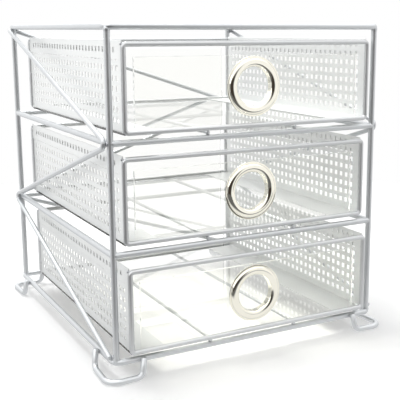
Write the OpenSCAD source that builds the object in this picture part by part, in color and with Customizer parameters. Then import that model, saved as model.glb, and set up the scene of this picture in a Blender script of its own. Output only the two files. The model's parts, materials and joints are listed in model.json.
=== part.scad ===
// Desktop organizer: a bent-wire frame with three letter-size drawers.
// Each drawer has wire end frames, perforated sheet sides, clear sheet
// floor and end panels, and a polished ring pull. Millimetres, +Z up,
// the front faces -Y, and z = 0 is the desk the feet stand on.

/* [Drawer] */
// Width of the drawer's end frames between wire centre lines
drawer_w = 273; // [240:1:340]
// Height of the drawer's end frames between wire centre lines
drawer_h = 80; // [70:1:110]
// Depth between the front and back wire centre lines
drawer_depth = 308; // [250:1:380]
// Wire diameter of the drawer's end frames
drawer_wire_d = 5; // [4:0.5:5]
// Centre-line bend radius of the end frames' corners
drawer_bend_r = 3.5; // [3:0.5:12]
// Thickness of the perforated sheet
sheet_t = 0.6; // [0.5:0.1:1.2]
// How far a side sheet rises above the end frames' top wire centre
side_rise = 3.5; // [3:0.5:5]
// Height of the hem folded down outside each side sheet
hem_h = 17.5; // [14:0.5:22]
// Width of the plain ledge folded in along each side's foot
ledge_w = 36; // [20:1:45]

/* [Frame] */
// Room from a drawer's side wire centres to the post centre lines
side_room = 13; // [11:0.5:20]
// Room from a shut drawer's back wire centre to the back post centre lines
back_room = 18; // [14:1:30]
// Height from one level to the next, less the height of the end frames
head_room = 25.3; // [22:0.1:32]
// Wire diameter of the loops, posts, level bars and feet
frame_wire_d = 6; // [5:0.5:7]
// Centre-line bend radius at the loop corners
loop_bend_r = 8; // [6:0.5:12]

/* [Braces] */
// Wire diameter of the zigzag braces
brace_wire_d = 5; // [4:0.5:6]
// Centre-line bend radius where a brace turns at a post
brace_bend_r = 5; // [4:0.5:8]

/* [Runners] */
// Wire diameter of the two runners under each drawer
runner_wire_d = 3.6; // [3:0.1:4]
// Distance between the two runners
runner_spacing = 100; // [60:1:160]

/* [Feet] */
// Height of the bottom loop's centre line above the foot wire's
foot_drop = 15; // [12:0.5:22]
// Distance of the front or back leg's upper end from the post
foot_end_leg = 25; // [20:1:40]
// Distance of the side leg's upper end from the post
foot_side_leg = 35; // [28:1:50]
// How far each leg runs back towards the post on its way down
foot_leg_rake = 3; // [0:0.5:6]
// How far the foot wire's corner stands outside the post centre lines
foot_reach = 13.5; // [12:0.5:20]
// How far the foot wire's low ends stand outside the upper ends
foot_splay = 2.6; // [0:0.2:4]
// Centre-line bend radius of the foot's corner
foot_corner_r = 13; // [8:0.5:16]
// Centre-line bend radius where the foot turns up into a leg
foot_leg_r = 7; // [5:0.5:8]

/* [Clear sheets] */
// Thickness of the floor sheet
floor_t = 2; // [1.5:0.1:2.5]
// Thickness of the front and back panels
panel_t = 3; // [2:0.1:4]
// Distance from a panel's side edge to the end frame's side wire centre
panel_inset = 11; // [8:0.5:24]
// Distance from the top wire's centre line down to a panel's top edge
panel_drop = 11.5; // [8:0.5:12]

/* [Perforation] */
// Side of each square hole
hole_size = 5; // [3.5:0.1:5.8]
// Hole spacing, along the drawer and up the side
hole_pitch = 9.5; // [8:0.1:12]
// Height of the lowest hole row's centre above the sheet's foot
hole_first_z = 11; // [9:0.1:13]
// Plain strip between the highest hole row and the fold
hole_rim = 3.5; // [3:0.1:6]

/* [Ring pull] */
// Outside diameter of the ring's lip
ring_d = 59.5; // [54:0.5:60]
// Diameter of the finger hole
ring_bore_d = 38.5; // [30:0.5:40]
// Outside diameter of the sleeve through the panel
ring_sleeve_d = 45; // [43:0.5:48]
// Height of the end frame's middle above the ring's centre
ring_drop = 2; // [0:0.5:6]
// Height of the rounded band in front of the panel
ring_proud = 3.6; // [3:0.1:5]
// Width of the thin outer lip
ring_lip_w = 1.8; // [1:0.1:3]
// Thickness of the retaining ring behind the panel
backing_t = 1.2; // [1:0.1:2]
// Outside diameter of the retaining ring behind the panel
backing_d = 54; // [50:0.5:56]

/* [Pulled out in the stored pose] */
// How far the top drawer stands out
top_out = 5; // [0:1:100]
// How far the middle drawer stands out
middle_out = 0; // [0:1:100]
// How far the bottom drawer stands out
bottom_out = 8; // [0:1:100]

/* [Clearances] */
// Gap left for the weld or glue between pieces that touch
joint_gap = 0.05; // [0.02:0.01:0.1]
// Gap between a drawer and the runners it slides on
glide_gap = 0.35; // [0.3:0.05:0.5]
// Gap between the hem and the sheet it is folded over
fold_gap = 0.1; // [0.05:0.05:0.3]
// Gap round the ring's sleeve in the panel
sleeve_gap = 0.1; // [0.05:0.05:0.3]
// How much thicker a wire is in its bends than in its straights
bend_swell = 0.02; // [0.01:0.01:0.05]
// How far a wire's straights run into its bends
bend_lap = 0.1; // [0.05:0.05:0.2]

/* [Hidden] */
$fn = 40;

// Colours of the wire, the sheet, the clear parts and the ring
steel_colour = [0.72, 0.74, 0.77];
sheet_colour = [0.83, 0.84, 0.85];
clear_colour = [0.9, 0.93, 0.86, 0.4];
chrome_colour = [0.86, 0.84, 0.8];

// The frame is built round the drawers: post grid, wire radii and levels
px = drawer_w / 2 + side_room;
py = (drawer_depth + back_room) / 2;
level_pitch = drawer_h + head_room;
frame_r = frame_wire_d / 2;
brace_r = brace_wire_d / 2;
runner_r = runner_wire_d / 2;
drawer_r = drawer_wire_d / 2;
z_bottom = foot_drop + frame_r;
z_lower = z_bottom + level_pitch;
z_upper = z_bottom + 2 * level_pitch;
z_top = z_bottom + 3 * level_pitch;

// A loop's straights stand outside the posts, so that the middle of each
// corner bend passes over a post
loop_out = loop_bend_r * (1 - cos(45));
lx = px + loop_out;
ly = py + loop_out;

// Where the coped ends of the bars and posts stop, from the post's axis
cope_in = frame_r * cos(45) + joint_gap;

// The braces lie against the outside of the posts
brace_off = frame_r + brace_r + joint_gap;
brace_end_dz = sqrt(pow(brace_off + 2 * joint_gap, 2) - pow(brace_off - loop_out, 2));

// The legs of the feet lie against the outside of the bottom loop
leg_x = lx + frame_wire_d + joint_gap;
leg_y = ly + frame_wire_d + joint_gap;

// Drawer heights above the centre of the bars below it
runner_z = frame_r + joint_gap + runner_r;
floor_z = runner_z + runner_r + glide_gap;
drawer_low_z = floor_z + drawer_r;
drawer_high_z = drawer_low_z + drawer_h;
sheet_z = floor_z + floor_t + joint_gap;
side_top_z = drawer_high_z + side_rise;
panel_top_z = drawer_high_z - panel_drop;
ring_z = (drawer_low_z + drawer_high_z) / 2 - ring_drop;

// Drawer depths behind its front wire's centre line
inner_y0 = drawer_r + joint_gap;
inner_y1 = drawer_depth - drawer_r - joint_gap;
side_len = inner_y1 - inner_y0;
panel_w = drawer_w - 2 * panel_inset;
ledge_y0 = inner_y0 + panel_t + joint_gap;
ledge_y1 = inner_y1 - panel_t - joint_gap;

// Perforated area of one side
hole_cols = floor((side_len - hole_pitch) / hole_pitch);
hole_first_y = (side_len - (hole_cols - 1) * hole_pitch) / 2;
hole_top_z = side_top_z - hole_rim - hole_size / 2 - sheet_z;
hole_rows = floor((hole_top_z - hole_first_z) / hole_pitch) + 1;

// Vector helpers
function unit(v) = v / norm(v);
function side_of(u) = unit(cross(abs(u[2]) < 0.9 ? [0, 0, 1] : [1, 0, 0], u));
function basis(x, y, z, p) = [
  [x[0], y[0], z[0], p[0]],
  [x[1], y[1], z[1], p[1]],
  [x[2], y[2], z[2], p[2]],
  [0, 0, 0, 1]
];
function turn_of(a, b, c) = acos(unit(b - a) * unit(c - b));
function trim_of(a, b, c, r) = r * tan(turn_of(a, b, c) / 2);
function lapped(trim) = trim > 0 ? trim - bend_lap : trim;

// A straight length of wire from a to b
module rod(a, b, d) {
  w = unit(b - a);
  x = side_of(w);
  multmatrix(basis(x, cross(w, x), w, a))
    cylinder(d = d, h = norm(b - a));
}

// The bend at b of a wire that runs from a past b to c
module bend(a, b, c, r, d) {
  u = unit(b - a);
  v = unit(c - b);
  n = unit(v - u * (u * v));
  centre = b - u * trim_of(a, b, c, r) + n * r;
  multmatrix(basis(-n, u, cross(-n, u), centre))
    rotate_extrude(angle = turn_of(a, b, c))
      translate([r, 0])
        circle(d = d + bend_swell);
}

// An open wire through the points p, bent with radius r[i] at point i
module open_wire(p, r, d) {
  last = len(p) - 1;
  trims = [for (i = [0 : last]) (i == 0 || i == last) ? 0 : trim_of(p[i - 1], p[i], p[i + 1], r[i])];
  for (i = [0 : last - 1]) {
    w = unit(p[i + 1] - p[i]);
    rod(p[i] + w * lapped(trims[i]), p[i + 1] - w * lapped(trims[i + 1]), d);
  }
  for (i = [1 : last - 1]) {
    bend(p[i - 1], p[i], p[i + 1], r[i], d);
  }
}

// A closed wire through the points p, bent with radius r at each
module closed_wire(p, r, d) {
  n = len(p);
  for (i = [0 : n - 1]) {
    before = p[(i + n - 1) % n];
    here = p[i];
    next = p[(i + 1) % n];
    after = p[(i + 2) % n];
    w = unit(next - here);
    rod(here + w * lapped(trim_of(before, here, next, r)), next - w * lapped(trim_of(here, next, after, r)), d);
    bend(before, here, next, r, d);
  }
}

// A level loop of the frame, for its own node or for cutting the posts
module frame_loop(z, d) {
  closed_wire([[-lx, -ly, z], [lx, -ly, z], [lx, ly, z], [-lx, ly, z]], loop_bend_r, d);
}

// One post, its ends cut to sit on the loops
module post(sx, sy) {
  color(steel_colour)
    difference() {
      translate([sx * px, sy * py, z_bottom + cope_in])
        cylinder(d = frame_wire_d, h = z_top - z_bottom - 2 * cope_in);
      frame_loop(z_bottom, frame_wire_d + 2 * joint_gap);
      frame_loop(z_top, frame_wire_d + 2 * joint_gap);
    }
}

// One front or back bar, its ends cut to sit on the posts
module cross_bar(sy, z) {
  color(steel_colour)
    difference() {
      rod([-px + cope_in, sy * py, z], [px - cope_in, sy * py, z], frame_wire_d);
      for (sx = [-1, 1])
        translate([sx * px, sy * py, z - frame_wire_d])
          cylinder(d = frame_wire_d + 2 * joint_gap, h = 2 * frame_wire_d);
    }
}

// One side bar, its ends cut to sit on the posts and clear the cross bars
module side_bar(sx, z) {
  color(steel_colour)
    difference() {
      rod([sx * px, -py + cope_in, z], [sx * px, py - cope_in, z], frame_wire_d);
      for (sy = [-1, 1]) {
        translate([sx * px, sy * py, z - frame_wire_d])
          cylinder(d = frame_wire_d + 2 * joint_gap, h = 2 * frame_wire_d);
        translate([sx * (px - frame_r - cope_in + joint_gap), sy * (py - frame_r / 2 - joint_gap), z])
          cube([frame_wire_d, frame_r, 2 * frame_wire_d], center = true);
      }
    }
}

// How far a brace's sharp corner must stand past the middle of its bend
function overshoot(span) = brace_bend_r * (1 / sin(atan(level_pitch / span)) - 1);

// A zigzag brace in a side plane
module side_brace(sx) {
  x = sx * (px + brace_off);
  y = py - frame_r / 2 + overshoot(2 * py);
  color(steel_colour)
    open_wire([
      [x, py - frame_r, z_top - brace_end_dz],
      [x, -y, z_upper],
      [x, y, z_lower],
      [x, -py + frame_r, z_bottom + brace_end_dz]
    ], [0, brace_bend_r, brace_bend_r, 0], brace_wire_d);
}

// The two runners of one level, laid over the front and back bars
module runner_pair(z, y) {
  color(steel_colour)
    for (sx = [-1, 1])
      rod([sx * runner_spacing / 2, -y, z + runner_z], [sx * runner_spacing / 2, y, z + runner_z], runner_wire_d);
}

// One foot: a wire bent round the corner, with its legs turned up
module foot(sx, sy) {
  end_x = px - foot_end_leg;
  side_y = py - foot_side_leg;
  color(steel_colour)
    open_wire([
      [sx * end_x, sy * leg_y, z_bottom + frame_r],
      [sx * (end_x + foot_leg_rake), sy * (leg_y + foot_splay), frame_r],
      [sx * (px + foot_reach), sy * (py + foot_reach), frame_r],
      [sx * (leg_x + foot_splay), sy * (side_y + foot_leg_rake), frame_r],
      [sx * leg_x, sy * side_y, z_bottom + frame_r]
    ], [0, foot_leg_r, foot_corner_r, foot_leg_r, 0], frame_wire_d);
}

// Moves a drawer piece to its level, the drawer pulled out by the given length
module at_drawer(z, out) {
  translate([0, -py - out, z])
    children();
}

// The closed wire at a drawer's front or back
module end_wire(y) {
  x = drawer_w / 2;
  color(steel_colour)
    closed_wire([
      [-x, y, drawer_low_z],
      [x, y, drawer_low_z],
      [x, y, drawer_high_z],
      [-x, y, drawer_high_z]
    ], drawer_bend_r, drawer_wire_d);
}

// Outline and hole corners of a perforated strip, h high, with rows of holes
function strip_points(h, z0, y0, cols, rows) = concat(
  [[0, 0], [side_len, 0], [side_len, h], [0, h]],
  [for (i = [0 : cols - 1], j = [0 : rows - 1])
    let (y = y0 + i * hole_pitch - hole_size / 2, z = z0 + j * hole_pitch - hole_size / 2)
    each [[y, z], [y + hole_size, z], [y + hole_size, z + hole_size], [y, z + hole_size]]]
);
function strip_paths(count) = [for (k = [0 : count]) [for (m = [0 : 3]) 4 * k + m]];

// A perforated strip standing along Y, its foot at z and its middle at x
module strip(x, z, h, z0, y0, cols, rows) {
  translate([x - sheet_t / 2, inner_y0, z])
    rotate([90, 0, 90])
      linear_extrude(sheet_t)
        polygon(points = strip_points(h, z0, y0, cols, rows), paths = strip_paths(cols * rows));
}

// A plain strip lying along the drawer between two x places and two y places
module flat_strip(x0, x1, y0, y1, z) {
  translate([min(x0, x1), y0, z])
    cube([abs(x1 - x0), y1 - y0, sheet_t]);
}

// One side sheet: perforated wall, ledge, top fold and hem. The ledge and
// the fold reach to the middle of the upright strips that they join.
module side_sheet(sx) {
  x = sx * drawer_w / 2;
  hem_x = x + sx * (sheet_t + fold_gap);
  ledge_x = x + sx * (sheet_t / 2 - ledge_w);
  color(sheet_colour) {
    strip(x, sheet_z, side_top_z - sheet_z, hole_first_z, hole_first_y, hole_cols, hole_rows);
    flat_strip(x, ledge_x, ledge_y0, ledge_y1, sheet_z);
    flat_strip(x, hem_x, inner_y0, inner_y1, side_top_z - sheet_t);
    strip(hem_x, side_top_z - hem_h, hem_h, hem_h / 2, hole_first_y + hole_pitch / 2, hole_cols - 1, 1);
  }
}

// The clear floor sheet
module floor_sheet() {
  color(clear_colour)
    translate([-drawer_w / 2, inner_y0, floor_z])
      cube([drawer_w, side_len, floor_t]);
}

// The clear panel at the front, with the hole for the ring pull
module front_sheet() {
  color(clear_colour)
    difference() {
      translate([-panel_w / 2, inner_y0, sheet_z])
        cube([panel_w, panel_t, panel_top_z - sheet_z]);
      translate([0, inner_y0 - panel_t, ring_z])
        rotate([-90, 0, 0])
          cylinder(d = ring_sleeve_d + 2 * sleeve_gap, h = 3 * panel_t);
    }
}

// The clear panel at the back
module back_sheet() {
  color(clear_colour)
    translate([-panel_w / 2, inner_y1 - panel_t, sheet_z])
      cube([panel_w, panel_t, panel_top_z - sheet_z]);
}

// Profile of the ring: sleeve, rounded band and thin lip
band_out_r = ring_d / 2 - ring_lip_w;
band_mid_r = (ring_bore_d / 2 + band_out_r) / 2;
band_half_w = (band_out_r - ring_bore_d / 2) / 2;
lip_t = 1.3;
ring_profile = concat(
  [[ring_bore_d / 2, -panel_t - backing_t - sleeve_gap]],
  [for (a = [180 : -12 : 0]) [band_mid_r + band_half_w * cos(a), lip_t + (ring_proud - lip_t) * sin(a)]],
  [
    [ring_d / 2, lip_t],
    [ring_d / 2, joint_gap],
    [ring_sleeve_d / 2, joint_gap],
    [ring_sleeve_d / 2, -panel_t - backing_t - sleeve_gap]
  ]
);

// The polished ring pull
module pull_ring() {
  color(chrome_colour)
    translate([0, inner_y0, ring_z])
      rotate([90, 0, 0])
        rotate_extrude($fn = 72)
          polygon(ring_profile);
}

// The retaining ring pressed on the sleeve behind the panel
module pull_backing() {
  color(chrome_colour)
    translate([0, inner_y0 + panel_t + joint_gap, ring_z])
      rotate([-90, 0, 0])
        difference() {
          cylinder(d = backing_d, h = backing_t, $fn = 72);
          translate([0, 0, -backing_t])
            cylinder(d = ring_sleeve_d + 2 * joint_gap, h = 3 * backing_t, $fn = 72);
        }
}

module top_loop() {
  color(steel_colour)
    frame_loop(z_top, frame_wire_d);
}
module bottom_loop() {
  color(steel_colour)
    frame_loop(z_bottom, frame_wire_d);
}
module post_front_left() { post(-1, -1); }
module post_front_right() { post(1, -1); }
module post_back_left() { post(-1, 1); }
module post_back_right() { post(1, 1); }
module bar_upper_front() { cross_bar(-1, z_upper); }
module bar_upper_back() { cross_bar(1, z_upper); }
module bar_upper_left() { side_bar(-1, z_upper); }
module bar_upper_right() { side_bar(1, z_upper); }
module bar_lower_front() { cross_bar(-1, z_lower); }
module bar_lower_back() { cross_bar(1, z_lower); }
module bar_lower_left() { side_bar(-1, z_lower); }
module bar_lower_right() { side_bar(1, z_lower); }
module brace_left() { side_brace(-1); }
module brace_right() { side_brace(1); }
module brace_back() {
  y = py + brace_off;
  x = px - frame_r / 2 + overshoot(2 * px);
  color(steel_colour)
    open_wire([
      [-px + frame_r, y, z_top - brace_end_dz],
      [x, y, z_upper],
      [-x, y, z_lower],
      [px - frame_r, y, z_bottom + brace_end_dz]
    ], [0, brace_bend_r, brace_bend_r, 0], brace_wire_d);
}
module runners_top() { runner_pair(z_upper, py + frame_r / 2); }
module runners_middle() { runner_pair(z_lower, py + frame_r / 2); }
module runners_bottom() { runner_pair(z_bottom, ly + frame_r / 2); }
module foot_front_left() { foot(-1, -1); }
module foot_front_right() { foot(1, -1); }
module foot_back_left() { foot(-1, 1); }
module foot_back_right() { foot(1, 1); }
module top_front_wire() { at_drawer(z_upper, top_out) end_wire(0); }
module top_back_wire() { at_drawer(z_upper, top_out) end_wire(drawer_depth); }
module top_left_side() { at_drawer(z_upper, top_out) side_sheet(-1); }
module top_right_side() { at_drawer(z_upper, top_out) side_sheet(1); }
module top_floor() { at_drawer(z_upper, top_out) floor_sheet(); }
module top_front_panel() { at_drawer(z_upper, top_out) front_sheet(); }
module top_back_panel() { at_drawer(z_upper, top_out) back_sheet(); }
module top_pull_ring() { at_drawer(z_upper, top_out) pull_ring(); }
module top_pull_backing() { at_drawer(z_upper, top_out) pull_backing(); }
module middle_front_wire() { at_drawer(z_lower, middle_out) end_wire(0); }
module middle_back_wire() { at_drawer(z_lower, middle_out) end_wire(drawer_depth); }
module middle_left_side() { at_drawer(z_lower, middle_out) side_sheet(-1); }
module middle_right_side() { at_drawer(z_lower, middle_out) side_sheet(1); }
module middle_floor() { at_drawer(z_lower, middle_out) floor_sheet(); }
module middle_front_panel() { at_drawer(z_lower, middle_out) front_sheet(); }
module middle_back_panel() { at_drawer(z_lower, middle_out) back_sheet(); }
module middle_pull_ring() { at_drawer(z_lower, middle_out) pull_ring(); }
module middle_pull_backing() { at_drawer(z_lower, middle_out) pull_backing(); }
module bottom_front_wire() { at_drawer(z_bottom, bottom_out) end_wire(0); }
module bottom_back_wire() { at_drawer(z_bottom, bottom_out) end_wire(drawer_depth); }
module bottom_left_side() { at_drawer(z_bottom, bottom_out) side_sheet(-1); }
module bottom_right_side() { at_drawer(z_bottom, bottom_out) side_sheet(1); }
module bottom_floor() { at_drawer(z_bottom, bottom_out) floor_sheet(); }
module bottom_front_panel() { at_drawer(z_bottom, bottom_out) front_sheet(); }
module bottom_back_panel() { at_drawer(z_bottom, bottom_out) back_sheet(); }
module bottom_pull_ring() { at_drawer(z_bottom, bottom_out) pull_ring(); }
module bottom_pull_backing() { at_drawer(z_bottom, bottom_out) pull_backing(); }

top_loop();
bottom_loop();
post_front_left();
post_front_right();
post_back_left();
post_back_right();
bar_upper_front();
bar_upper_back();
bar_upper_left();
bar_upper_right();
bar_lower_front();
bar_lower_back();
bar_lower_left();
bar_lower_right();
brace_left();
brace_right();
brace_back();
runners_top();
runners_middle();
runners_bottom();
foot_front_left();
foot_front_right();
foot_back_left();
foot_back_right();
top_front_wire();
top_back_wire();
top_left_side();
top_right_side();
top_floor();
top_front_panel();
top_back_panel();
top_pull_ring();
top_pull_backing();
middle_front_wire();
middle_back_wire();
middle_left_side();
middle_right_side();
middle_floor();
middle_front_panel();
middle_back_panel();
middle_pull_ring();
middle_pull_backing();
bottom_front_wire();
bottom_back_wire();
bottom_left_side();
bottom_right_side();
bottom_floor();
bottom_front_panel();
bottom_back_panel();
bottom_pull_ring();
bottom_pull_backing();
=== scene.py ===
import json
from math import atan, cos, pi, radians, sin, sqrt, tan

import bmesh
import bpy
from mathutils import Matrix, Vector


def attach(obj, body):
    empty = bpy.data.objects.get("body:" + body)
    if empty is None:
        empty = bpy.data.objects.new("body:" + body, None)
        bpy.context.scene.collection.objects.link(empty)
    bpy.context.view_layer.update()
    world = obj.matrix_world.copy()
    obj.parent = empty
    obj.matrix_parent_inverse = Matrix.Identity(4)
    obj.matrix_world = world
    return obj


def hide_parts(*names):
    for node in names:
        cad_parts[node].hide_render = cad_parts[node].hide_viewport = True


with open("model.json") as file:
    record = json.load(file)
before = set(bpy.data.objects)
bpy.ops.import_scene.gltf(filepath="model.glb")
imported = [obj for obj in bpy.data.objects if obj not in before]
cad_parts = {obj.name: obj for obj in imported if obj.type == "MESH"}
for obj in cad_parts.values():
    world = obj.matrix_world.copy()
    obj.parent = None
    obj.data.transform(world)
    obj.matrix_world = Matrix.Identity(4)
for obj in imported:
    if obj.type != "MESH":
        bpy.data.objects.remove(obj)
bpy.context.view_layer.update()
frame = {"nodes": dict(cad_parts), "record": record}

scene = bpy.context.scene

# Sizes in metres, the same as in the part's source
GAP = 0.00005
FRAME_D = 0.006
BRACE_D = 0.005
RUNNER_D = 0.0036
DRAWER_D = 0.005
LOOP_BEND = 0.008
BRACE_BEND = 0.005
DRAWER_BEND = 0.0035
DRAWER_W = 0.273
DRAWER_H = 0.080
DRAWER_DEPTH = 0.308
SIDE_ROOM = 0.013
BACK_ROOM = 0.018
HEAD_ROOM = 0.0253
POST_X = DRAWER_W / 2 + SIDE_ROOM
POST_Y = (DRAWER_DEPTH + BACK_ROOM) / 2
PITCH = DRAWER_H + HEAD_ROOM
Z_BOTTOM = 0.018
Z_LOWER = Z_BOTTOM + PITCH
Z_UPPER = Z_BOTTOM + 2 * PITCH
Z_TOP = Z_BOTTOM + 3 * PITCH
LOOP_OUT = LOOP_BEND * (1 - cos(pi / 4))
LOOP_X = POST_X + LOOP_OUT
LOOP_Y = POST_Y + LOOP_OUT
BRACE_OFF = FRAME_D / 2 + BRACE_D / 2 + GAP
BRACE_DROP = sqrt((BRACE_OFF + 2 * GAP) ** 2 - (BRACE_OFF - LOOP_OUT) ** 2)
RUNNER_Z = FRAME_D / 2 + GAP + RUNNER_D / 2
RUNNER_X = 0.05

# Drawer heights above the bar below it and depths behind its front wire
FLOOR_Z = 0.007
FLOOR_T = 0.002
LOW_Z = 0.0095
HIGH_Z = LOW_Z + DRAWER_H
SHEET_Z = 0.00905
SHEET_T = 0.0006
SIDE_RISE = 0.0035
SIDE_TOP = HIGH_Z + SIDE_RISE
PANEL_DROP = 0.0115
PANEL_TOP = HIGH_Z - PANEL_DROP
PANEL_INSET = 0.011
PANEL_W = DRAWER_W - 2 * PANEL_INSET
PANEL_T = 0.003
RING_DROP = 0.002
RING_Z = (LOW_Z + HIGH_Z) / 2 - RING_DROP
INNER_0 = DRAWER_D / 2 + GAP
INNER_1 = DRAWER_DEPTH - INNER_0
LEDGE_W = 0.036
HEM_H = 0.0175
HEM_STEP = SHEET_T + 0.0001
HOLE = 0.005
HOLE_PITCH = 0.0095
HOLE_COLS = 30
HOLE_ROWS = 8
HOLE_FIRST_Z = 0.011

# The drawers: level and how far each stands out in the photo
DRAWERS = {
    "top": (Z_UPPER, 0.005),
    "middle": (Z_LOWER, 0.0),
    "bottom": (Z_BOTTOM, 0.008),
}

# Places nearer to each other than this are one place
SAME = 1e-6


# ---------------------------------------------------------------- materials
def new_material(name):
    """A material with an empty tree, its Principled shader and its output."""
    material = bpy.data.materials.new(name)
    material.use_nodes = True
    tree = material.node_tree
    tree.nodes.clear()
    output = tree.nodes.new("ShaderNodeOutputMaterial")
    shader = tree.nodes.new("ShaderNodeBsdfPrincipled")
    tree.links.new(shader.outputs["BSDF"], output.inputs["Surface"])
    return material, tree, shader, output


def wear_group():
    """Cloudy tone, fine grain and polish marks, shared by all the metals."""
    group = bpy.data.node_groups.new("drawn_metal_wear", "ShaderNodeTree")
    face = group.interface
    for name, kind, value in (
        ("Light Colour", "NodeSocketColor", (0.8, 0.8, 0.8, 1)),
        ("Dark Colour", "NodeSocketColor", (0.6, 0.6, 0.6, 1)),
        ("Mottle Scale", "NodeSocketFloat", 60.0),
        ("Grain Scale", "NodeSocketFloat", 1400.0),
        ("Roughness", "NodeSocketFloat", 0.3),
        ("Roughness Spread", "NodeSocketFloat", 0.1),
    ):
        socket = face.new_socket(name=name, in_out="INPUT", socket_type=kind)
        socket.default_value = value
    face.new_socket(name="Colour", in_out="OUTPUT", socket_type="NodeSocketColor")
    face.new_socket(name="Roughness", in_out="OUTPUT", socket_type="NodeSocketFloat")
    face.new_socket(name="Height", in_out="OUTPUT", socket_type="NodeSocketFloat")
    nodes, links = group.nodes, group.links
    inputs = nodes.new("NodeGroupInput")
    outputs = nodes.new("NodeGroupOutput")
    place = nodes.new("ShaderNodeTexCoord")
    mottle = nodes.new("ShaderNodeTexNoise")
    mottle.inputs["Detail"].default_value = 5
    links.new(place.outputs["Object"], mottle.inputs["Vector"])
    links.new(inputs.outputs["Mottle Scale"], mottle.inputs["Scale"])
    grain = nodes.new("ShaderNodeTexNoise")
    grain.inputs["Detail"].default_value = 2
    links.new(place.outputs["Object"], grain.inputs["Vector"])
    links.new(inputs.outputs["Grain Scale"], grain.inputs["Scale"])
    mix = nodes.new("ShaderNodeMix")
    mix.data_type = "RGBA"
    links.new(mottle.outputs["Fac"], mix.inputs["Factor"])
    links.new(inputs.outputs["Dark Colour"], mix.inputs[6])
    links.new(inputs.outputs["Light Colour"], mix.inputs[7])
    links.new(mix.outputs[2], outputs.inputs["Colour"])
    spread = nodes.new("ShaderNodeMath")
    spread.operation = "MULTIPLY_ADD"
    links.new(mottle.outputs["Fac"], spread.inputs[0])
    links.new(inputs.outputs["Roughness Spread"], spread.inputs[1])
    links.new(inputs.outputs["Roughness"], spread.inputs[2])
    links.new(spread.outputs[0], outputs.inputs["Roughness"])
    links.new(grain.outputs["Fac"], outputs.inputs["Height"])
    return group


WEAR = wear_group()
GRAIN_DEPTH = 0.0002


def metal(name, light, dark, roughness, spread, mottle=60.0, grain=1400.0, bump=0.0):
    """A metal whose colour and polish vary a little over the surface."""
    material, tree, shader, _ = new_material(name)
    shader.inputs["Metallic"].default_value = 1.0
    wear = tree.nodes.new("ShaderNodeGroup")
    wear.node_tree = WEAR
    wear.inputs["Light Colour"].default_value = (*light, 1)
    wear.inputs["Dark Colour"].default_value = (*dark, 1)
    wear.inputs["Mottle Scale"].default_value = mottle
    wear.inputs["Grain Scale"].default_value = grain
    wear.inputs["Roughness"].default_value = roughness
    wear.inputs["Roughness Spread"].default_value = spread
    tree.links.new(wear.outputs["Colour"], shader.inputs["Base Color"])
    tree.links.new(wear.outputs["Roughness"], shader.inputs["Roughness"])
    if bump:
        relief = tree.nodes.new("ShaderNodeBump")
        relief.inputs["Strength"].default_value = bump
        relief.inputs["Distance"].default_value = GRAIN_DEPTH
        tree.links.new(wear.outputs["Height"], relief.inputs["Height"])
        tree.links.new(relief.outputs["Normal"], shader.inputs["Normal"])
    return material


def clear_plastic(name, bending):
    """Clear acrylic with faint polishing haze, that casts only a light shadow."""
    material, tree, shader, output = new_material(name)
    shader.inputs["Base Color"].default_value = (0.995, 0.996, 0.982, 1)
    shader.inputs["IOR"].default_value = bending
    shader.inputs["Transmission Weight"].default_value = 1.0
    place = tree.nodes.new("ShaderNodeTexCoord")
    haze = tree.nodes.new("ShaderNodeTexNoise")
    haze.inputs["Scale"].default_value = 35
    haze.inputs["Detail"].default_value = 3
    tree.links.new(place.outputs["Object"], haze.inputs["Vector"])
    polish = tree.nodes.new("ShaderNodeMapRange")
    polish.inputs["From Min"].default_value = 0.35
    polish.inputs["From Max"].default_value = 0.75
    polish.inputs["To Min"].default_value = 0.0
    polish.inputs["To Max"].default_value = 0.02
    tree.links.new(haze.outputs["Fac"], polish.inputs["Value"])
    tree.links.new(polish.outputs["Result"], shader.inputs["Roughness"])
    path = tree.nodes.new("ShaderNodeLightPath")
    clear = tree.nodes.new("ShaderNodeBsdfTransparent")
    clear.inputs["Color"].default_value = (0.96, 0.96, 0.94, 1)
    mix = tree.nodes.new("ShaderNodeMixShader")
    tree.links.new(path.outputs["Is Shadow Ray"], mix.inputs["Fac"])
    tree.links.new(shader.outputs["BSDF"], mix.inputs[1])
    tree.links.new(clear.outputs["BSDF"], mix.inputs[2])
    tree.links.new(mix.outputs["Shader"], output.inputs["Surface"])
    return material


FRAME_METAL = metal(
    "satin_silver_wire",
    light=(0.63, 0.645, 0.655),
    dark=(0.56, 0.575, 0.59),
    roughness=0.42,
    spread=0.10,
    mottle=45,
    bump=0.12,
)
DRAWER_METAL = metal(
    "satin_silver_drawer_wire",
    light=(0.64, 0.65, 0.655),
    dark=(0.57, 0.58, 0.59),
    roughness=0.42,
    spread=0.10,
    mottle=45,
    bump=0.12,
)
WELD_METAL = metal(
    "weld_silver",
    light=(0.52, 0.53, 0.55),
    dark=(0.36, 0.37, 0.39),
    roughness=0.32,
    spread=0.2,
    mottle=300,
    grain=900,
    bump=0.5,
)
SHEET_METAL = metal(
    "perforated_sheet_silver",
    light=(0.81, 0.82, 0.815),
    dark=(0.74, 0.75, 0.745),
    roughness=0.44,
    spread=0.12,
    mottle=30,
    grain=1100,
    bump=0.1,
)
RING_METAL = metal(
    "polished_ring_nickel",
    light=(0.88, 0.86, 0.77),
    dark=(0.85, 0.825, 0.73),
    roughness=0.035,
    spread=0.04,
    mottle=80,
)
# The upright panels mirror the light less than the floors do
CLEAR_FLOOR = clear_plastic("clear_acrylic_floor", bending=1.45)
CLEAR_PANEL = clear_plastic("clear_acrylic_panel", bending=1.2)

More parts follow.
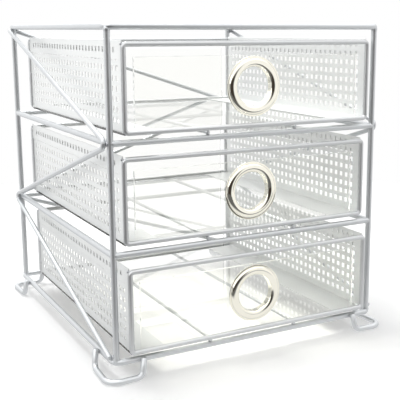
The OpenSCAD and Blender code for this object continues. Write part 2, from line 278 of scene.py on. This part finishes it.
SLOT_MATERIALS = {
    "frame_wire": FRAME_METAL,
    "drawer_wire": DRAWER_METAL,
    "perforated_sheet": SHEET_METAL,
    "clear_sheet": CLEAR_PANEL,
    "polished_metal": RING_METAL,
}
slots = {part["node"]: part["material_slot"] for part in frame["record"]["subparts"]}
for name, node in frame["nodes"].items():
    node.data.materials.clear()
    node.data.materials.append(SLOT_MATERIALS[slots[name]])


# ------------------------------------------------------------ making pieces
def add_piece(name, shape, body, slot, *nodes, material=None):
    """Turns a bmesh into a piece that rides on a body and stands for nodes."""
    bmesh.ops.recalc_face_normals(shape, faces=shape.faces)
    mesh = bpy.data.meshes.new(name)
    shape.to_mesh(mesh)
    shape.free()
    mesh.materials.append(material or SLOT_MATERIALS[slot])
    piece = bpy.data.objects.new(name, mesh)
    scene.collection.objects.link(piece)
    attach(piece, body)
    if nodes:
        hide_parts(*nodes)
    return piece


def edges_in(found):
    return [item for item in found if isinstance(item, bmesh.types.BMEdge)]


def verts_in(found):
    return [item for item in found if isinstance(item, bmesh.types.BMVert)]


def each_once(items):
    """The items in their order, each of them once."""
    return list(dict.fromkeys(items))


def facing(point, direction):
    """The matrix that lays a circle at a point, square to a direction."""
    return Matrix.Translation(point) @ direction.to_track_quat("Z", "Y").to_matrix().to_4x4()


def push_on(shape, edges, step):
    """Runs an open ring of edges on by a step, and gives the new ring."""
    grown = bmesh.ops.extrude_edge_only(shape, edges=edges)["geom"]
    bmesh.ops.translate(shape, verts=verts_in(grown), vec=step)
    return edges_in(grown)


def resize_ring(shape, edges, middle, factor):
    """Makes a ring of edges larger or smaller about its middle."""
    ring = each_once(vert for edge in edges for vert in edge.verts)
    bmesh.ops.scale(shape, vec=(factor,) * 3, verts=ring, space=Matrix.Translation(-middle))


def shade_round(shape, crease=None):
    """Shades the faces as curved, but for edges sharper than a crease."""
    for face in shape.faces:
        face.smooth = True
    if crease is not None:
        for edge in shape.edges:
            edge.smooth = edge.calc_face_angle(0) < crease


# ------------------------------------------------------------------- wires
WIRE_SIDES = 28
BEND_STEPS = 10
# Swelling of a wire's end where it is welded to another wire's side:
# distance from that wire's middle, and size against the plain thickness
BEAD = ((0.0022, 1.15), (0.0031, 1.13), (0.0040, 1.03), (0.0050, 1.0))
# Rounded rim of a cut end: steps inwards and outwards, against the radius
RIM = ((0.10, 0.08), (0.16, 0.05))


def close_end(shape, edges, radius):
    """Closes a wire's cut end with a slightly rounded rim."""
    cap = bmesh.ops.holes_fill(shape, edges=edges, sides=0)["faces"]
    bmesh.ops.recalc_face_normals(shape, faces=shape.faces)
    for inwards, outwards in RIM:
        bmesh.ops.inset_region(
            shape, faces=cap, thickness=inwards * radius, depth=outwards * radius
        )


def run_on(shape, ring, start, along, stations):
    """Runs a ring along a straight, through stations of distance and size."""
    reached, swollen = 0.0, 1.0
    for distance, size in stations:
        ring = push_on(shape, ring, along * (distance - reached))
        resize_ring(shape, ring, start + along * distance, size / swollen)
        reached, swollen = distance, size
    return ring


def bent_wire(shape, points, bend, thickness, closed=False, welded=False):
    """Drawn wire through the points, turned at each corner with a bend radius.

    Both ends of a welded wire swell into the wires that they meet."""
    points = [Vector(point) for point in points]
    count = len(points)
    bends = bend if isinstance(bend, (list, tuple)) else [bend] * count
    trims = []
    for i, here in enumerate(points):
        before = here - points[i - 1]
        after = points[(i + 1) % count] - here
        ended = not closed and i in (0, count - 1)
        trims.append(0.0 if ended else bends[i] * tan(before.angle(after) / 2))
    along = (points[1] - points[0]).normalized()
    made = bmesh.ops.create_circle(
        shape,
        segments=WIRE_SIDES,
        radius=thickness / 2,
        matrix=facing(points[0] + along * trims[0], along),
    )
    first = each_once(edge for vert in made["verts"] for edge in vert.link_edges)
    ring = first
    for i in range(count if closed else count - 1):
        corner = (i + 1) % count
        here, there = points[i], points[corner]
        along = (there - here).normalized()
        length = (there - here).length - trims[i] - trims[corner]
        stations = [(length, 1.0)]
        if welded:
            far_end = [(length - distance, size) for distance, size in reversed(BEAD)]
            stations = [*BEAD, *far_end, *stations]
        ring = run_on(shape, ring, here + along * trims[i], along, stations)
        if not closed and corner == count - 1:
            break
        onward = (points[(corner + 1) % count] - there).normalized()
        axis = along.cross(onward).normalized()
        spun = bmesh.ops.spin(
            shape,
            geom=ring,
            cent=there - along * trims[corner] + axis.cross(along) * bends[corner],
            axis=axis,
            angle=along.angle(onward),
            steps=BEND_STEPS,
        )
        ring = edges_in(spun["geom_last"])
    if closed:
        bmesh.ops.remove_doubles(shape, verts=shape.verts, dist=SAME)
    else:
        close_end(shape, first, thickness / 2)
        close_end(shape, ring, thickness / 2)
    shade_round(shape)


def wire_piece(node, body, slot, *lengths):
    """One piece of one or more wires, standing for the wire node of the CAD."""
    shape = bmesh.new()
    for length in lengths:
        wire = bmesh.new()
        bent_wire(wire, **length)
        spare = bpy.data.meshes.new("spare")
        wire.to_mesh(spare)
        wire.free()
        shape.from_mesh(spare)
        bpy.data.meshes.remove(spare)
    add_piece(node + "_wire", shape, body, slot, node)


def rectangle(x, y, z):
    return [(-x, -y, z), (x, -y, z), (x, y, z), (-x, y, z)]


SIDES = {"left": -1, "right": 1}
ENDS = {"front": -1, "back": 1}


def zigzag(half):
    """The brace's corners between two posts: place along them, and height."""
    far = half - FRAME_D / 4 + BRACE_BEND * (1 / sin(atan(PITCH / (2 * half))) - 1)
    end = half - FRAME_D / 2
    return [
        (end, Z_TOP - BRACE_DROP),
        (-far, Z_UPPER),
        (far, Z_LOWER),
        (-end, Z_BOTTOM + BRACE_DROP),
    ]


def frame_wires():
    """Loops, posts, level bars, braces, runners and feet."""

    def frame_piece(node, *lengths):
        wire_piece(node, "frame", "frame_wire", *lengths)

    for node, z in (("bottom_loop", Z_BOTTOM), ("top_loop", Z_TOP)):
        around = rectangle(LOOP_X, LOOP_Y, z)
        frame_piece(node, dict(points=around, bend=LOOP_BEND, thickness=FRAME_D, closed=True))

    def welded_piece(node, start, end):
        frame_piece(node, dict(points=[start, end], bend=0, thickness=FRAME_D, welded=True))

    for end, sy in ENDS.items():
        for side, sx in SIDES.items():
            corner = (sx * POST_X, sy * POST_Y)
            welded_piece(f"post_{end}_{side}", (*corner, Z_BOTTOM), (*corner, Z_TOP))
    for level, z in (("lower", Z_LOWER), ("upper", Z_UPPER)):
        for end, sy in ENDS.items():
            start = (-POST_X, sy * POST_Y, z)
            welded_piece(f"bar_{level}_{end}", start, (POST_X, sy * POST_Y, z))
        for side, sx in SIDES.items():
            start = (sx * POST_X, -POST_Y, z)
            welded_piece(f"bar_{level}_{side}", start, (sx * POST_X, POST_Y, z))

    for side, sx in SIDES.items():
        route = [(sx * (POST_X + BRACE_OFF), along, z) for along, z in zigzag(POST_Y)]
        frame_piece(f"brace_{side}", dict(points=route, bend=BRACE_BEND, thickness=BRACE_D))
    route = [(-along, POST_Y + BRACE_OFF, z) for along, z in zigzag(POST_X)]
    frame_piece("brace_back", dict(points=route, bend=BRACE_BEND, thickness=BRACE_D))

    for node, z, y in (
        ("runners_top", Z_UPPER, POST_Y + FRAME_D / 4),
        ("runners_middle", Z_LOWER, POST_Y + FRAME_D / 4),
        ("runners_bottom", Z_BOTTOM, LOOP_Y + FRAME_D / 4),
    ):
        pair = []
        for sx in SIDES.values():
            ends = [(sx * RUNNER_X, -y, z + RUNNER_Z), (sx * RUNNER_X, y, z + RUNNER_Z)]
            pair.append(dict(points=ends, bend=0, thickness=RUNNER_D))
        frame_piece(node, *pair)

    for end, sy in ENDS.items():
        for side, sx in SIDES.items():
            foot = dict(points=foot_route(sx, sy), bend=FOOT_BENDS, thickness=FRAME_D)
            frame_piece(f"foot_{end}_{side}", foot)


# Feet: places of the legs' upper ends, and how the wire runs under them
FOOT_BENDS = [0, 0.007, 0.013, 0.007, 0]
LEG_END_X = POST_X - 0.025
LEG_SIDE_Y = POST_Y - 0.035
LEG_X = LOOP_X + FRAME_D + GAP
LEG_Y = LOOP_Y + FRAME_D + GAP
LEG_RAKE = 0.003
LEG_SPLAY = 0.0026
FOOT_REACH = 0.0135


def foot_route(sx, sy):
    """The corners of a foot's wire: down, out under the post, and up again."""
    low = FRAME_D / 2
    return [
        (sx * LEG_END_X, sy * LEG_Y, Z_BOTTOM + low),
        (sx * (LEG_END_X + LEG_RAKE), sy * (LEG_Y + LEG_SPLAY), low),
        (sx * (POST_X + FOOT_REACH), sy * (POST_Y + FOOT_REACH), low),
        (sx * (LEG_X + LEG_SPLAY), sy * (LEG_SIDE_Y + LEG_RAKE), low),
        (sx * LEG_X, sy * LEG_SIDE_Y, Z_BOTTOM + low),
    ]


# Half sizes of the beads of weld
SIDE_BEAD = (0.0011, 0.0022, 0.0028)
BACK_BEAD = (0.0022, 0.0011, 0.0028)
RUNNER_BEAD = (0.0019, 0.0021, 0.0008)
LEG_END_BEAD = (0.0024, 0.0011, 0.0026)
LEG_SIDE_BEAD = (0.0011, 0.0024, 0.0026)
SHEET_BEAD = (0.0013, 0.0009, 0.0022)
# The bead at each top corner of a drawer is a weld bead. Its dark weld colour also stands in as
# painted shade for the shadowed gap where the hem's end meets the top wire
CORNER_WELD_AND_SHADE_BEAD = (0.0017, 0.0011, 0.0016)
# How far the braces' beads lie in from the middles of the posts
END_BEAD_IN = 0.002
BACK_BEAD_IN = 0.001
# Where a drawer's sheets are welded to its end wires
SHEET_BEAD_Z = (0.022, 0.050, 0.078)
# How far out the corner bead sits, so that its dark painted shade shows at the drawer's top corner
CORNER_WELD_AND_SHADE_OUT = 0.0006


def weld_beads(name, body, slot, spots):
    """Small beads of weld at the spots, each a place and its half sizes."""
    shape = bmesh.new()
    for place, size in spots:
        bead = Matrix.Translation(place) @ Matrix.Diagonal((*size, 1))
        bmesh.ops.create_icosphere(shape, subdivisions=2, radius=1.0, matrix=bead)
    shade_round(shape)
    add_piece(name, shape, body, slot, material=WELD_METAL)


def frame_welds():
    """The beads that hold the braces, the runners and the feet."""
    spots = []
    touch = FRAME_D / 2
    high, low = Z_TOP - BRACE_DROP, Z_BOTTOM + BRACE_DROP
    for sx in SIDES.values():
        x = sx * (POST_X + touch)
        for sy, z in ((-1, Z_UPPER), (1, Z_LOWER)):
            spots.append(((x, sy * POST_Y, z), SIDE_BEAD))
        for sy, z in ((1, high), (-1, low)):
            spots.append(((x, sy * (POST_Y - END_BEAD_IN), z), SIDE_BEAD))
    for sx, z in ((-1, high), (1, Z_UPPER), (-1, Z_LOWER), (1, low)):
        spots.append(((sx * (POST_X - BACK_BEAD_IN), POST_Y + touch, z), BACK_BEAD))
    for z, y in ((Z_UPPER, POST_Y), (Z_LOWER, POST_Y), (Z_BOTTOM, LOOP_Y)):
        for sx in SIDES.values():
            for sy in ENDS.values():
                spots.append(((sx * RUNNER_X, sy * y, z + touch), RUNNER_BEAD))
    for sx in SIDES.values():
        for sy in ENDS.values():
            spots.append(((sx * LEG_END_X, sy * (LOOP_Y + touch), Z_BOTTOM), LEG_END_BEAD))
            spots.append(((sx * (LOOP_X + touch), sy * LEG_SIDE_Y, Z_BOTTOM), LEG_SIDE_BEAD))
    weld_beads("frame_weld_beads", "frame", "frame_wire", spots)


# ------------------------------------------------------- perforated sides
HEM_FOLD = HEM_STEP / 2
FOOT_FOLD = 0.0012
NOTCH = PANEL_T + GAP
HEM_HOLE_Z = HEM_H / 2
FOLD_STEPS = 6


def punched_grid(shape, columns, rows, middle):
    """A grid of square cells across the sheet, each with a square hole."""
    size = Matrix(
        (
            (0, 0, 1, middle[0]),
            (columns * HOLE_PITCH, 0, 0, middle[1]),
            (0, rows * HOLE_PITCH, 0, middle[2]),
            (0, 0, 0, 1),
        )
    )
    made = bmesh.ops.create_grid(shape, x_segments=columns, y_segments=rows, size=0.5, matrix=size)
    cells = each_once(face for vert in made["verts"] for face in vert.link_faces)
    rim = (HOLE_PITCH - HOLE) / 2
    bmesh.ops.inset_individual(shape, faces=cells, thickness=rim, use_even_offset=True)
    bmesh.ops.delete(shape, geom=cells, context="FACES_ONLY")


def border(shape, axis, value):
    """The open edges that lie at one place along an axis."""
    return [
        edge
        for edge in shape.edges
        if edge.is_boundary and all(abs(vert.co[axis] - value) < SAME for vert in edge.verts)
    ]


def side_sheet(drawer, side, level, front):
    """Folded perforated side: wall, ledge under the paper's edge, and hem."""
    shape = bmesh.new()
    x = DRAWER_W / 2
    y0, y1 = front + INNER_0, front + INNER_1
    y_mid = (y0 + y1) / 2
    foot = level + SHEET_Z
    low = foot + HOLE_FIRST_Z - HOLE_PITCH / 2
    high = low + HOLE_ROWS * HOLE_PITCH
    punched_grid(shape, HOLE_COLS, HOLE_ROWS, (x, y_mid, (low + high) / 2))
    margin = (y1 - y0 - HOLE_COLS * HOLE_PITCH) / 2
    for start, way in ((y0 + margin, -1), (y1 - margin, 1)):
        edges = border(shape, 1, start)
        edges = push_on(shape, edges, (0, way * (margin - NOTCH), 0))
        push_on(shape, edges, (0, way * NOTCH, 0))

    # the hem is folded over outwards at the top and hangs beside the wall
    fold_z = level + SIDE_TOP - SHEET_T / 2 - HEM_FOLD
    edges = push_on(shape, border(shape, 2, high), (0, 0, fold_z - high))
    folded = bmesh.ops.spin(
        shape,
        geom=edges,
        cent=(x + HEM_FOLD, 0, fold_z),
        axis=(0, 1, 0),
        angle=pi,
        steps=FOLD_STEPS,
    )
    rounded = edges_in(folded["geom_last"])
    hem_foot = level + SIDE_TOP - HEM_H
    hem_mid = hem_foot + HEM_HOLE_Z
    others = set(shape.verts)
    columns = HOLE_COLS - 1
    punched_grid(shape, columns, 1, (x + HEM_STEP, y_mid, hem_mid))
    hem_margin = (y1 - y0 - columns * HOLE_PITCH) / 2
    for start, way in ((y0 + hem_margin, -1), (y1 - hem_margin, 1)):
        edges = [edge for edge in border(shape, 1, start) if not others & set(edge.verts)]
        push_on(shape, edges, (0, way * hem_margin, 0))
    hem_top = [
        edge
        for edge in border(shape, 2, hem_mid + HOLE_PITCH / 2)
        if edge.verts[0].co.x > x + HEM_FOLD
    ]
    bmesh.ops.bridge_loops(shape, edges=rounded + hem_top)
    hem_low = [
        edge
        for edge in border(shape, 2, hem_mid - HOLE_PITCH / 2)
        if edge.verts[0].co.x > x + HEM_FOLD
    ]
    push_on(shape, hem_low, (0, 0, hem_foot - hem_mid + HOLE_PITCH / 2))

    # the ledge is folded inwards at the foot, clear of the end panels
    bend_z = foot + SHEET_T / 2 + FOOT_FOLD
    edges = push_on(shape, border(shape, 2, low), (0, 0, bend_z - low))
    ends = [
        edge
        for edge in edges
        if min(abs(vert.co.y - y) for vert in edge.verts for y in (y0, y1)) < SAME
    ]
    push_on(shape, ends, (0, 0, foot - bend_z))
    folded = bmesh.ops.spin(
        shape,
        geom=[edge for edge in edges if edge not in ends],
        cent=(x - FOOT_FOLD, 0, bend_z),
        axis=(0, 1, 0),
        angle=pi / 2,
        steps=FOLD_STEPS,
    )
    ledge = LEDGE_W - SHEET_T / 2 - FOOT_FOLD
    push_on(shape, edges_in(folded["geom_last"]), (-ledge, 0, 0))

    for face in shape.faces:
        flat = max(abs(value) for value in face.normal) > 0.999
        face.smooth = not flat
    if side == "left":
        bmesh.ops.scale(shape, vec=(-1, 1, 1), verts=shape.verts)
    node = f"{drawer}_{side}_side"
    piece = add_piece(node + "_sheet", shape, f"drawer_{drawer}", "perforated_sheet", node)
    thick = piece.modifiers.new("sheet_thickness", "SOLIDIFY")
    thick.thickness = SHEET_T
    thick.offset = 0
    thick.use_even_offset = True


# ----------------------------------------------------------- clear sheets
EDGE_ROUND = 0.0004
BORE_SIDES = 72
SLEEVE_R = 0.0225
SLEEVE_GAP = 0.0001


def round_edges(shape, width=EDGE_ROUND):
    """Rounds every sharp edge, as on flame-polished acrylic."""
    sharp = [edge for edge in shape.edges if edge.calc_face_angle(0) > radians(50)]
    bmesh.ops.bevel(
        shape, geom=sharp, offset=width, segments=3, profile=0.5, affect="EDGES", material=-1
    )


def clear_block(node, body, low, high, material):
    """A plain clear sheet between two corners."""
    shape = bmesh.new()
    middle = (Vector(low) + Vector(high)) / 2
    size = Vector(high) - Vector(low)
    space = Matrix.Translation(middle) @ Matrix.Diagonal((*size, 1))
    bmesh.ops.create_cube(shape, size=1, matrix=space)
    round_edges(shape)
    add_piece(node + "_acrylic", shape, body, "clear_sheet", node, material=material)


def front_panel(node, body, low, high, bore_z):
    """The front panel, cut round the sleeve of its ring pull."""
    shape = bmesh.new()
    middle = (Vector(low) + Vector(high)) / 2
    size = Vector(high) - Vector(low)
    upright = Matrix.Rotation(pi / 2, 4, "X")
    place = Matrix.Translation((middle.x, low[1], middle.z))
    outline = place @ upright @ Matrix.Diagonal((size.x, size.z, 1, 1))
    made = bmesh.ops.create_grid(shape, x_segments=1, y_segments=1, size=0.5, matrix=outline)
    faces = each_once(face for vert in made["verts"] for face in vert.link_faces)
    bmesh.ops.delete(shape, geom=faces, context="FACES_ONLY")
    bmesh.ops.create_circle(
        shape,
        segments=BORE_SIDES,
        radius=SLEEVE_R + SLEEVE_GAP,
        matrix=Matrix.Translation((0, low[1], bore_z)) @ upright,
    )
    bmesh.ops.triangle_fill(shape, edges=shape.edges, use_beauty=True, normal=(0, -1, 0))
    raised = bmesh.ops.extrude_face_region(shape, geom=shape.faces)
    bmesh.ops.translate(shape, verts=verts_in(raised["geom"]), vec=(0, size.y, 0))
    bmesh.ops.recalc_face_normals(shape, faces=shape.faces)
    round_edges(shape)
    add_piece(node + "_acrylic", shape, body, "clear_sheet", node)


# --------------------------------------------------------------- ring pull
BORE_R = 0.01925
BAND_R = 0.02795
LIP_R = 0.02975
LIP_T = 0.0013
RING_PROUD = 0.0036
BACKING_R = 0.027
BACKING_T = 0.0012
BACKING_ROUND = 0.0002
LIP_ROUND = 0.0005
RING_STEPS = 120
CROWN_STEPS = 18
RING_CREASE = radians(40)


def turned(shape, profile, middle, steps):
    """Turns a closed profile round an axis that runs along Y."""
    bmesh.ops.spin(
        shape, geom=profile, cent=middle, axis=(0, 1, 0), angle=2 * pi, steps=steps, use_merge=True
    )
    bmesh.ops.recalc_face_normals(shape, faces=shape.faces)


def path_on(shape, vert, steps):
    """Runs an outline on from a vertex by steps, and gives the last vertex."""
    for step in steps:
        vert = verts_in(bmesh.ops.extrude_vert_indiv(shape, verts=[vert])["verts"])[0]
        bmesh.ops.translate(shape, verts=[vert], vec=step)
    return vert


def pull_ring(node, body, face_y, middle_z):
    """Sleeve, rounded band and thin lip of the ring, turned in one piece."""
    shape = bmesh.new()
    half = (BAND_R - BORE_R) / 2
    lip_y = face_y - LIP_T
    start = shape.verts.new((BORE_R, lip_y, middle_z))
    band_middle = Vector((BORE_R + half, lip_y, middle_z))
    crown = bmesh.ops.spin(
        shape, geom=[start], cent=band_middle, axis=(0, 0, 1), angle=pi, steps=CROWN_STEPS
    )
    bmesh.ops.scale(
        shape,
        vec=(1, (RING_PROUD - LIP_T) / half, 1),
        verts=shape.verts,
        space=Matrix.Translation(-band_middle),
    )
    last = verts_in(crown["geom_last"])[0]
    back_y = PANEL_T + BACKING_T + SLEEVE_GAP
    last = path_on(
        shape,
        last,
        (
            (LIP_R - BAND_R, 0, 0),
            (0, LIP_T - GAP, 0),
            (SLEEVE_R - LIP_R, 0, 0),
            (0, back_y + GAP, 0),
            (BORE_R - SLEEVE_R, 0, 0),
        ),
    )
    shape.edges.new((last, start))
    turned(shape, list(shape.verts) + list(shape.edges), (0, 0, middle_z), RING_STEPS)
    lip = [
        edge
        for edge in shape.edges
        if all(abs(Vector((v.co.x, v.co.z - middle_z)).length - LIP_R) < SAME for v in edge.verts)
        and abs(edge.verts[0].co.y - edge.verts[1].co.y) < SAME
    ]
    bmesh.ops.bevel(
        shape,
        geom=lip,
        offset=LIP_ROUND,
        segments=4,
        profile=0.5,
        affect="EDGES",
        material=-1,
    )
    shade_round(shape, RING_CREASE)
    add_piece(node + "_turned", shape, body, "polished_metal", node)


def pull_backing(node, body, back_y, middle_z):
    """The retaining washer behind the panel."""
    shape = bmesh.new()
    start = shape.verts.new((SLEEVE_R + GAP, back_y, middle_z))
    width = BACKING_R - SLEEVE_R - GAP
    last = path_on(shape, start, ((width, 0, 0), (0, BACKING_T, 0), (-width, 0, 0)))
    shape.edges.new((last, start))
    turned(shape, list(shape.verts) + list(shape.edges), (0, 0, middle_z), RING_STEPS)
    round_edges(shape, BACKING_ROUND)
    shade_round(shape, RING_CREASE)
    add_piece(node + "_washer", shape, body, "polished_metal", node)


# ----------------------------------------------------------------- drawers
def drawer(name, level, out):
    """A whole drawer at its level, standing out by so much at rest."""
    body = f"drawer_{name}"
    front = -POST_Y - out
    half = DRAWER_W / 2
    for end, y in (("front", front), ("back", front + DRAWER_DEPTH)):
        low, high = level + LOW_Z, level + HIGH_Z
        around = [(-half, y, low), (half, y, low), (half, y, high), (-half, y, high)]
        bent = dict(points=around, bend=DRAWER_BEND, thickness=DRAWER_D, closed=True)
        wire_piece(f"{name}_{end}_wire", body, "drawer_wire", bent)
    for side in SIDES:
        side_sheet(name, side, level, front)
    y0, y1 = front + INNER_0, front + INNER_1
    floor = level + FLOOR_Z
    low, high = (-half, y0, floor), (half, y1, floor + FLOOR_T)
    clear_block(f"{name}_floor", body, low, high, CLEAR_FLOOR)
    x, z0, z1 = PANEL_W / 2, level + SHEET_Z, level + PANEL_TOP
    clear_block(f"{name}_back_panel", body, (-x, y1 - PANEL_T, z0), (x, y1, z1), CLEAR_PANEL)
    middle_z = level + RING_Z
    front_panel(f"{name}_front_panel", body, (-x, y0, z0), (x, y0 + PANEL_T, z1), middle_z)
    pull_ring(f"{name}_pull_ring", body, y0, middle_z)
    pull_backing(f"{name}_pull_backing", body, y0 + PANEL_T + GAP, middle_z)
    spots = []
    for sx in SIDES.values():
        for y in (y0, y1):
            for z in SHEET_BEAD_Z:
                spots.append(((sx * half, y, level + z), SHEET_BEAD))
            # a dark weld bead at each top corner, which also paints the shade in the gap at the
            # hem's end
            x = sx * (half + CORNER_WELD_AND_SHADE_OUT)
            spots.append(((x, y, level + HIGH_Z), CORNER_WELD_AND_SHADE_BEAD))
    weld_beads(f"{name}_drawer_beads", body, "drawer_wire", spots)


frame_wires()
frame_welds()
for drawer_name, (drawer_level, drawer_out) in DRAWERS.items():
    drawer(drawer_name, drawer_level, drawer_out)


# ------------------------------------------------------------ floor and light
TABLE_R = 0.9
TABLE_SIDES = 96
# What the table adds to its own light for the eye, to come out white
TABLE_LIFT = 0.26
# On the viewer's side the metal mirrors a dark room instead of the table: the
# way to it, the distances between which the table fades, and what is left
DARK_SIDE = (-0.469, -0.883, 0)
DARK_START = 0.29
DARK_END = 0.42
DARK_LEVEL = 0.15
LAMP_AIM = (0, 0, 0.15)


def floor_material():
    """A white table that keeps the object's shadow, and is mirrored without it."""
    material, tree, shader, output = new_material("white_table")
    shader.inputs["Base Color"].default_value = (0.8, 0.8, 0.8, 1)
    shader.inputs["Roughness"].default_value = 0.8
    path = tree.nodes.new("ShaderNodeLightPath")
    seen = tree.nodes.new("ShaderNodeMath")
    seen.operation = "MAXIMUM"
    tree.links.new(path.outputs["Is Camera Ray"], seen.inputs[0])
    tree.links.new(path.outputs["Is Transmission Ray"], seen.inputs[1])
    lift = tree.nodes.new("ShaderNodeMath")
    lift.operation = "MULTIPLY"
    lift.inputs[1].default_value = TABLE_LIFT
    tree.links.new(seen.outputs[0], lift.inputs[0])
    lifted = tree.nodes.new("ShaderNodeEmission")
    tree.links.new(lift.outputs[0], lifted.inputs["Strength"])
    both = tree.nodes.new("ShaderNodeAddShader")
    tree.links.new(shader.outputs["BSDF"], both.inputs[0])
    tree.links.new(lifted.outputs["Emission"], both.inputs[1])
    place = tree.nodes.new("ShaderNodeTexCoord")
    ahead = tree.nodes.new("ShaderNodeVectorMath")
    ahead.operation = "DOT_PRODUCT"
    ahead.inputs[1].default_value = DARK_SIDE
    tree.links.new(place.outputs["Object"], ahead.inputs[0])
    fading = tree.nodes.new("ShaderNodeMapRange")
    fading.interpolation_type = "SMOOTHSTEP"
    fading.inputs["From Min"].default_value = DARK_START
    fading.inputs["From Max"].default_value = DARK_END
    fading.inputs["To Min"].default_value = 1.0
    fading.inputs["To Max"].default_value = DARK_LEVEL
    tree.links.new(ahead.outputs["Value"], fading.inputs["Value"])
    mirrored = tree.nodes.new("ShaderNodeEmission")
    tree.links.new(fading.outputs["Result"], mirrored.inputs["Strength"])
    reflected = tree.nodes.new("ShaderNodeMath")
    reflected.operation = "SUBTRACT"
    reflected.use_clamp = True
    tree.links.new(path.outputs["Is Glossy Ray"], reflected.inputs[0])
    tree.links.new(path.outputs["Is Transmission Ray"], reflected.inputs[1])
    last = tree.nodes.new("ShaderNodeMixShader")
    tree.links.new(reflected.outputs[0], last.inputs["Fac"])
    tree.links.new(both.outputs["Shader"], last.inputs[1])
    tree.links.new(mirrored.outputs["Emission"], last.inputs[2])
    tree.links.new(last.outputs["Shader"], output.inputs["Surface"])
    return material


def make_floor():
    mesh = bpy.data.meshes.new("table_top")
    shape = bmesh.new()
    bmesh.ops.create_circle(shape, cap_ends=True, segments=TABLE_SIDES, radius=TABLE_R)
    shape.to_mesh(mesh)
    shape.free()
    table = bpy.data.objects.new("table_top", mesh)
    scene.collection.objects.link(table)
    mesh.materials.append(floor_material())


def make_world():
    """White all round, for the eye and through the clear sheets.

    The metal mirrors bright walls and a ceiling, and a dark room on the
    viewer's side."""
    world = bpy.data.worlds.new("light_tent")
    scene.world = world
    world.use_nodes = True
    tree = world.node_tree
    tree.nodes.clear()
    output = tree.nodes.new("ShaderNodeOutputWorld")
    path = tree.nodes.new("ShaderNodeLightPath")
    place = tree.nodes.new("ShaderNodeTexCoord")

    def background(strength, colour=(1, 1, 1)):
        light = tree.nodes.new("ShaderNodeBackground")
        light.inputs["Color"].default_value = (*colour, 1)
        light.inputs["Strength"].default_value = strength
        return light

    def toward(direction, start, end):
        """How far a mirrored ray points toward a direction, from 0 to 1."""
        facing_it = tree.nodes.new("ShaderNodeVectorMath")
        facing_it.operation = "DOT_PRODUCT"
        facing_it.inputs[1].default_value = Vector(direction).normalized()
        tree.links.new(place.outputs["Generated"], facing_it.inputs[0])
        amount = tree.nodes.new("ShaderNodeMapRange")
        amount.interpolation_type = "SMOOTHSTEP"
        amount.inputs["From Min"].default_value = start
        amount.inputs["From Max"].default_value = end
        tree.links.new(facing_it.outputs["Value"], amount.inputs["Value"])
        return amount.outputs["Result"]

    def blend(amount, first, second):
        mix = tree.nodes.new("ShaderNodeMixShader")
        tree.links.new(amount, mix.inputs["Fac"])
        tree.links.new(first, mix.inputs[1])
        tree.links.new(second, mix.inputs[2])
        return mix.outputs["Shader"]

    sides = background(1.1).outputs["Background"]
    behind = background(1.35).outputs["Background"]
    room = background(1.0, (0.055, 0.045, 0.038)).outputs["Background"]
    ceiling = background(1.7).outputs["Background"]
    up, away = (0, 0, 1), (-0.2, 1, 0)
    tent = blend(toward(DARK_SIDE, 0.60, 0.78), sides, room)
    tent = blend(toward(up, 0.16, 0.34), tent, sides)
    tent = blend(toward(away, 0.2, 0.7), tent, behind)
    tent = blend(toward(up, 0.36, 0.62), tent, ceiling)
    soft = background(0.5).outputs["Background"]
    white = background(1.0).outputs["Background"]
    tent = blend(path.outputs["Is Glossy Ray"], soft, tent)
    seen = tree.nodes.new("ShaderNodeMath")
    seen.operation = "MAXIMUM"
    tree.links.new(path.outputs["Is Camera Ray"], seen.inputs[0])
    tree.links.new(path.outputs["Is Transmission Ray"], seen.inputs[1])
    tree.links.new(blend(seen.outputs[0], tent, white), output.inputs["Surface"])


def make_lamp(name, place, size, watts):
    """A square soft light, aimed at the middle of the object."""
    lamp = bpy.data.lights.new(name, "AREA")
    lamp.shape = "SQUARE"
    lamp.size = size
    lamp.energy = watts
    item = bpy.data.objects.new(name, lamp)
    scene.collection.objects.link(item)
    item.location = place
    aim = Vector(LAMP_AIM) - Vector(place)
    item.rotation_euler = aim.to_track_quat("-Z", "Y").to_euler()


# The camera, as fitted to the photo: pixels, metres and degrees
IMAGE_SIDE = 400
FOCAL = 808.3
CENTRE_X = 240
CENTRE_Y = 186
CAMERA_PLACE = (-0.4040, -0.8547, 0.3298)
CAMERA_DOWN = 10.88
CAMERA_TURN = 29.42
SENSOR_MM = 36


def make_camera():
    eye = bpy.data.cameras.new("viewpoint")
    eye.sensor_width = SENSOR_MM
    eye.lens = FOCAL / IMAGE_SIDE * SENSOR_MM
    eye.shift_x = (IMAGE_SIDE / 2 - CENTRE_X) / IMAGE_SIDE
    eye.shift_y = (CENTRE_Y - IMAGE_SIDE / 2) / IMAGE_SIDE
    eye.clip_start = 0.01
    eye.clip_end = 50
    item = bpy.data.objects.new("viewpoint", eye)
    scene.collection.objects.link(item)
    item.location = CAMERA_PLACE
    item.rotation_euler = (radians(90 - CAMERA_DOWN), 0, radians(-CAMERA_TURN))
    scene.camera = item


make_floor()
make_world()
make_lamp("overhead_softbox", (-0.12, 0.3, 1.6), size=0.8, watts=19)
make_lamp("left_softbox", (-1.6, -0.8, 0.9), size=0.9, watts=5)
make_camera()

scene.view_settings.view_transform = "Standard"
